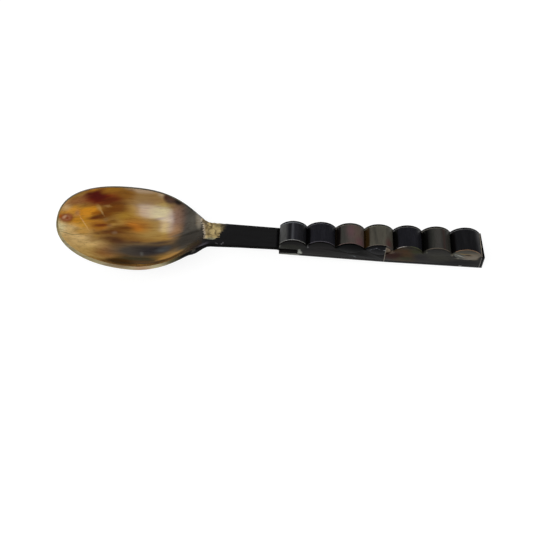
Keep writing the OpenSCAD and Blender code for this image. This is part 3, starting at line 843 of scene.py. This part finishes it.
def round_edges(obj, width, segments=2, angle=35):
    """Wears the sharp edges of a piece round and shades it smooth."""
    only(obj)
    bevel = obj.modifiers.new("worn", "BEVEL")
    bevel.width = width
    bevel.segments = segments
    bevel.limit_method = "ANGLE"
    bevel.angle_limit = math.radians(angle)
    apply_all(obj)
    bpy.ops.object.shade_smooth_by_angle(angle=math.radians(30))


print("the handle widens by", round(2 * WIDENING, 4), "mm for each mm")

# %% Bend one plate
OVERWIDE, LIP, AT_END = 30 * MM, 1.2 * MM, 0.001 * MM


def bend_plate(k):
    """Bends the plate of lobe k, wider than the handle."""
    start, end, crown, radius = lobe(k)
    low = start if k == 1 else start + VALLEY_W / 2
    high = BODY_LEN - GLUE if k == LOBES else end - VALLEY_W / 2
    bpy.ops.object.select_all(action="DESELECT")
    bpy.ops.mesh.primitive_cylinder_add(vertices=128, radius=radius, depth=OVERWIDE,
                                        end_fill_type="NOTHING", rotation=(math.pi / 2, 0, 0),
                                        location=((start + end) / 2, 0, crown - radius))
    plate = bpy.context.active_object
    plate.name = f"curved_plate_{k}"
    bpy.ops.object.transform_apply(location=True, rotation=True, scale=True)
    slice_off(plate, (low, 0, 0), (-1, 0, 0), fill=False)
    slice_off(plate, (high, 0, 0), (1, 0, 0), fill=False)
    slice_off(plate, (0, 0, crown - radius), (0, 0, -1), fill=False)
    bpy.ops.object.mode_set(mode="EDIT")
    bpy.ops.mesh.select_mode(type="EDGE")
    bpy.ops.mesh.select_all(action="DESELECT")
    sheet = bmesh.from_edit_mesh(plate.data)
    for edge in sheet.edges:
        if all(min(abs(v.co.x - low), abs(v.co.x - high)) < AT_END for v in edge.verts):
            edge.select_set(True)
    bmesh.update_edit_mesh(plate.data)
    bpy.ops.mesh.extrude_edges_move(TRANSFORM_OT_translate={"value": (0, 0, -LIP)})
    bpy.ops.mesh.select_all(action="SELECT")
    bpy.ops.mesh.normals_make_consistent(inside=False)
    bpy.ops.object.mode_set(mode="OBJECT")
    thick = plate.modifiers.new("thick", "SOLIDIFY")
    thick.thickness = VENEER_T
    thick.offset = -1
    apply_all(plate)
    return plate


print("veneer", VENEER_T / MM, "mm thick")

# %% All seven plates
WORN = 0.3 * MM
plates = {1: bend_plate(1), 2: bend_plate(2), LOBES: bend_plate(LOBES)}
for k in range(3, LOBES):
    plate = twin(plates[2], f"curved_plate_{k}")
    move = Vector((lobe(k)[0] - lobe(2)[0], 0, lobe(k)[2] - lobe(2)[2]))
    plate.data.transform(Matrix.Translation(move))
    plates[k] = plate
for k, plate in sorted(plates.items()):
    trim_to_taper(plate, SIDE_T + GLUE)
    round_edges(plate, WORN, 3)
    settle(plate)
    dress(plate, veneer_horns[k - 1])
    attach(plate, "root")
    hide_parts(f"top_veneer_{k}")
    low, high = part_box(f"top_veneer_{k}")
    size = [max(v.co[i] for v in plate.data.vertices) - min(v.co[i] for v in plate.data.vertices)
            for i in range(3)]
    print("plate", k, "is", [round(v / MM, 2) for v in size], "and its solid",
          [round(v / MM, 2) for v in high - low])

# %% [markdown]
# ## The flat plates and the lenses
# The side plates, the bottom plates, the butt plate and the three lens-shaped inlays were sawn
# flat, so the CAD outline is right for them. What a solid lacks is the softened edge of worn
# horn. Each gets a copy of its solid with the edges rounded.

# %% Flat plates with worn edges
LENS_WEAR = 0.12


def worn_copy(node, name, material, width=0.22):
    """Copies a flat CAD piece, joins its triangles into flat faces and rounds its edges."""
    piece = copy_of(node, name)
    edit_all(piece, bpy.ops.mesh.dissolve_limited, angle_limit=math.radians(0.5))
    round_edges(piece, width * MM, 2, 30)
    dress(piece, material)
    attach(piece, "root")
    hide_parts(node)
    print(name, "faces:", len(piece.data.polygons))


worn_copy("near_plate_front", "near_front_plate", near_front_horn)
worn_copy("near_plate_rear", "near_rear_plate", near_rear_horn)
worn_copy("far_plate_front", "far_front_plate", far_horn)
worn_copy("far_plate_rear", "far_rear_plate", far_horn)
worn_copy("near_inlay_3", "lens_under_lobe_3", lens_blue_horn, LENS_WEAR)
worn_copy("near_inlay_4", "lens_under_lobe_4", lens_speckled_horn, LENS_WEAR)
worn_copy("near_inlay_7", "lens_under_lobe_7", lens_tan_horn, LENS_WEAR)
worn_copy("bottom_plate_front", "front_bottom_plate", bottom_pale_horn)
worn_copy("bottom_plate_rear", "rear_bottom_plate", bottom_dark_horn)
worn_copy("butt_plate", "worn_butt_plate", butt_horn, 0.3)

# %% [markdown]
# ## The glue lines
# A glue line is a very thin bead that fills the groove between two rounded edges. The arcs are
# slices of a ring, one made for lobes 2 to 6 and copied, and the straight ones are slim rods. The
# arcs' colour is partly a painted highlight of the rounded edges.

# %% Arc of glue over one lobe
BEAD, SINK = 0.3 * MM, 0.16 * MM


def glue_and_highlight_arc(k):
    """Makes the bead over lobe k as the top of a thin ring, sunk into the groove."""
    start, end, crown, radius = lobe(k)
    bpy.ops.object.select_all(action="DESELECT")
    bpy.ops.mesh.primitive_torus_add(major_segments=128, minor_segments=8,
                                     major_radius=radius - SINK, minor_radius=BEAD,
                                     rotation=(math.pi / 2, 0, 0),
                                     location=((start + end) / 2, 0, crown - radius))
    arc = bpy.context.active_object
    bpy.ops.object.transform_apply(location=True, rotation=True, scale=True)
    slice_off(arc, (0, 0, crown - LOBE_RISE), (0, 0, -1))
    if k == LOBES:
        slice_off(arc, (BODY_LEN - GLUE, 0, 0), (1, 0, 0))
    if k == 1:
        slice_off(arc, (GLUE, 0, 0), (-1, 0, 0))
    return arc


patterns = {k: glue_and_highlight_arc(k) for k in (1, 2, LOBES)}
print("arc triangles:", sum(len(f.vertices) - 2 for f in patterns[2].data.polygons))

# %% Copies of the arcs on both sides, turned to the handle's taper
for side, place, glue in ((-1, "near", near_arc_glue_and_painted_light), (1, "far", far_arc_glue_and_highlight)):
    for k in range(1, LOBES + 1):
        source = k if k in patterns else 2
        arc = twin(patterns[source], f"{place}_glue_arc_{k}")
        middle = sum(lobe(source)[:2]) / 2
        move = Vector((lobe(k)[0] - lobe(source)[0], 0, lobe(k)[2] - lobe(source)[2]))
        across = side * (WIDTH_FRONT / 2 - SIDE_T - GLUE / 2 + WIDENING * (middle + move.x))
        taper = (Matrix.Translation((middle, 0, 0)) @ Matrix.Rotation(side * WIDENING, 4, "Z")
                 @ Matrix.Translation((-middle, 0, 0)))
        arc.data.transform(Matrix.Translation(move + Vector((0, across, 0))) @ taper)
        only(arc)
        bpy.ops.object.shade_smooth_by_angle(angle=math.radians(40))
        settle(arc)
        dress(arc, glue)
        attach(arc, "root")
for pattern in patterns.values():
    bpy.data.objects.remove(pattern)
print("glue arcs:", 2 * LOBES)

# %% Straight glue lines
def glue_rod(name, foot, top, radius, glue):
    """Makes a straight bead between two points of the level handle."""
    foot, top = Vector(foot) * MM, Vector(top) * MM
    run = top - foot
    bpy.ops.object.select_all(action="DESELECT")
    bpy.ops.mesh.primitive_cylinder_add(vertices=16, radius=radius * MM, depth=run.length,
                                        location=(foot + top) / 2,
                                        rotation=run.to_track_quat("Z", "Y").to_euler())
    rod = bpy.context.active_object
    rod.name = name
    bpy.ops.object.transform_apply(location=True, rotation=True, scale=True)
    round_edges(rod, 0.4 * radius * MM, 2, 60)
    settle(rod)
    dress(rod, glue)
    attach(rod, "root")
    return rod


def side_y(x):
    """Half the handle's width, in millimetres, at x millimetres from its front."""
    return (WIDTH_FRONT / 2 + WIDENING * x * MM) / MM


SUNK, FOOT, TOP, CREST = 0.12, 0.4, 14.6, 11.0
seam, butt = SEAM_AT / MM, BODY_LEN / MM
near_seam, far_seam = -side_y(seam) + SUNK, side_y(seam) - SUNK
near_butt, far_butt = -side_y(butt), side_y(butt)
rods = [
    glue_rod("glue_in_near_seam", (seam, near_seam, FOOT), (seam, near_seam, TOP), 0.24, glue_pale),
    glue_rod("glue_in_far_seam", (seam, far_seam, FOOT), (seam, far_seam, TOP), 0.2, glue_grey),
    glue_rod("glue_at_near_butt", (butt, near_butt + 0.1, 0.3), (butt, near_butt + 0.1, 10.6),
             0.24, glue_grey),
    glue_rod("glue_on_butt", (butt, near_butt + 0.3, CREST), (butt, far_butt - 0.3, CREST),
             0.3, glue_pale)]
print("glue rods:", [rod.name for rod in rods])

# %% [markdown]
# ## Light and floor
# A soft lamp stands in front on the left and a narrower one beside it: together they make the
# pale patch on the far wall of the bowl, which has the shape of their reflection. A wide one above
# and one behind on the right fill the shadows, but they aren't mirrored, and the sky is dim, so
# that the black horn of the handle stays black. What the camera sees of the sky is white.

# %% Lamps
def soft_lamp(name, turn, up, distance, size, strength, roll=0):
    """Adds a lamp that faces the spoon: turn, up and roll in degrees, the rest in m and W."""
    data = bpy.data.lights.new(name, "AREA")
    data.shape = "RECTANGLE"
    data.size, data.size_y = size
    data.energy = strength
    lamp = bpy.data.objects.new(name, data)
    bpy.context.scene.collection.objects.link(lamp)
    a, e = math.radians(turn), math.radians(up)
    towards = Vector((math.sin(a) * math.cos(e), math.cos(a) * math.cos(e), math.sin(e)))
    lamp.location = towards * distance
    facing = towards.to_track_quat("Z", "Y") @ Quaternion((0, 0, 1), math.radians(roll))
    lamp.rotation_euler = facing.to_euler()
    return lamp


soft_lamp("key_lamp", turn=-143.5, up=47.5, distance=1.3, size=(1.08, 0.55), strength=9.5, roll=26)
soft_lamp("side_lamp", turn=-99.7, up=55.6, distance=1.3, size=(0.8, 0.37), strength=3.0, roll=-21)
fills = [soft_lamp("top_lamp", turn=0, up=89.9, distance=1.6, size=(2.2, 2.2), strength=4),
         soft_lamp("back_lamp", turn=50, up=35, distance=1.3, size=(1.2, 1.2), strength=6)]
for fill in fills:
    fill.visible_glossy = False

# %% Sky
SKY_LIGHT = 0.12
world = bpy.data.worlds.new("studio")
bpy.context.scene.world = world
world.use_nodes = True
world.node_tree.nodes.clear()
sky = add(world.node_tree, "Background", {"Color": paint("#FFFFFF"), "Strength": SKY_LIGHT})
ray = add(world.node_tree, "LightPath")
white = add(world.node_tree, "Background", {"Color": paint("#FFFFFF"), "Strength": 1.0})
chosen = add(world.node_tree, "MixShader", {0: ray.outputs["Is Camera Ray"],
                                            1: sky.outputs[0], 2: white.outputs[0]})
add(world.node_tree, "OutputWorld", {"Surface": chosen.outputs[0]})
print("sky strength:", SKY_LIGHT)

# %% [markdown]
# The floor is a sheet of white paper, which the camera, mirrors and glass see glowing, so that it
# is white in the picture. Near the spoon the glow stays a little below white, and a grey surface
# adds the lamps' light to it, so the spoon's soft shadow shows. To all other rays the floor is
# plain pale paper, which lights the spoon from below.

# %% Floor
FLOOR_SIZE, BELOW = 6, 0.02 * MM
bpy.ops.object.select_all(action="DESELECT")
bpy.ops.mesh.primitive_plane_add(size=FLOOR_SIZE, location=(0, 0, -BELOW))
floor = bpy.context.active_object
floor.name = "floor"
floor_paper, tree, mm = new_material("white_paper")
ray = add(tree, "LightPath")
seen = add(tree, "Math", {0: ray.outputs["Is Camera Ray"], 1: ray.outputs["Is Glossy Ray"]},
           operation="MAXIMUM").outputs[0]
seen = add(tree, "Math", {0: seen, 1: ray.outputs["Is Transmission Ray"]},
           operation="MAXIMUM").outputs[0]
away = add(tree, "VectorMath", {0: mm}, operation="LENGTH").outputs["Value"]
whiter = mix(tree, ramp(tree, away, 180, 500), paint("#F4F4F4"), paint("#FFFFFF"))
glow = add(tree, "Emission", {"Color": whiter, "Strength": 1.0})
dull = add(tree, "BsdfDiffuse", {"Color": paint("#707070")})
lit = add(tree, "AddShader", {0: glow.outputs[0], 1: dull.outputs[0]})
plain = add(tree, "BsdfDiffuse", {"Color": paint("#E6E6E6")})
paper = add(tree, "MixShader", {0: seen, 1: plain.outputs[0], 2: lit.outputs[0]})
add(tree, "OutputMaterial", {"Surface": paper.outputs[0]})
dress(floor, floor_paper)
print("floor at z =", floor.location.z)

# %% View
scene = bpy.context.scene
scene.view_settings.view_transform = "Standard"
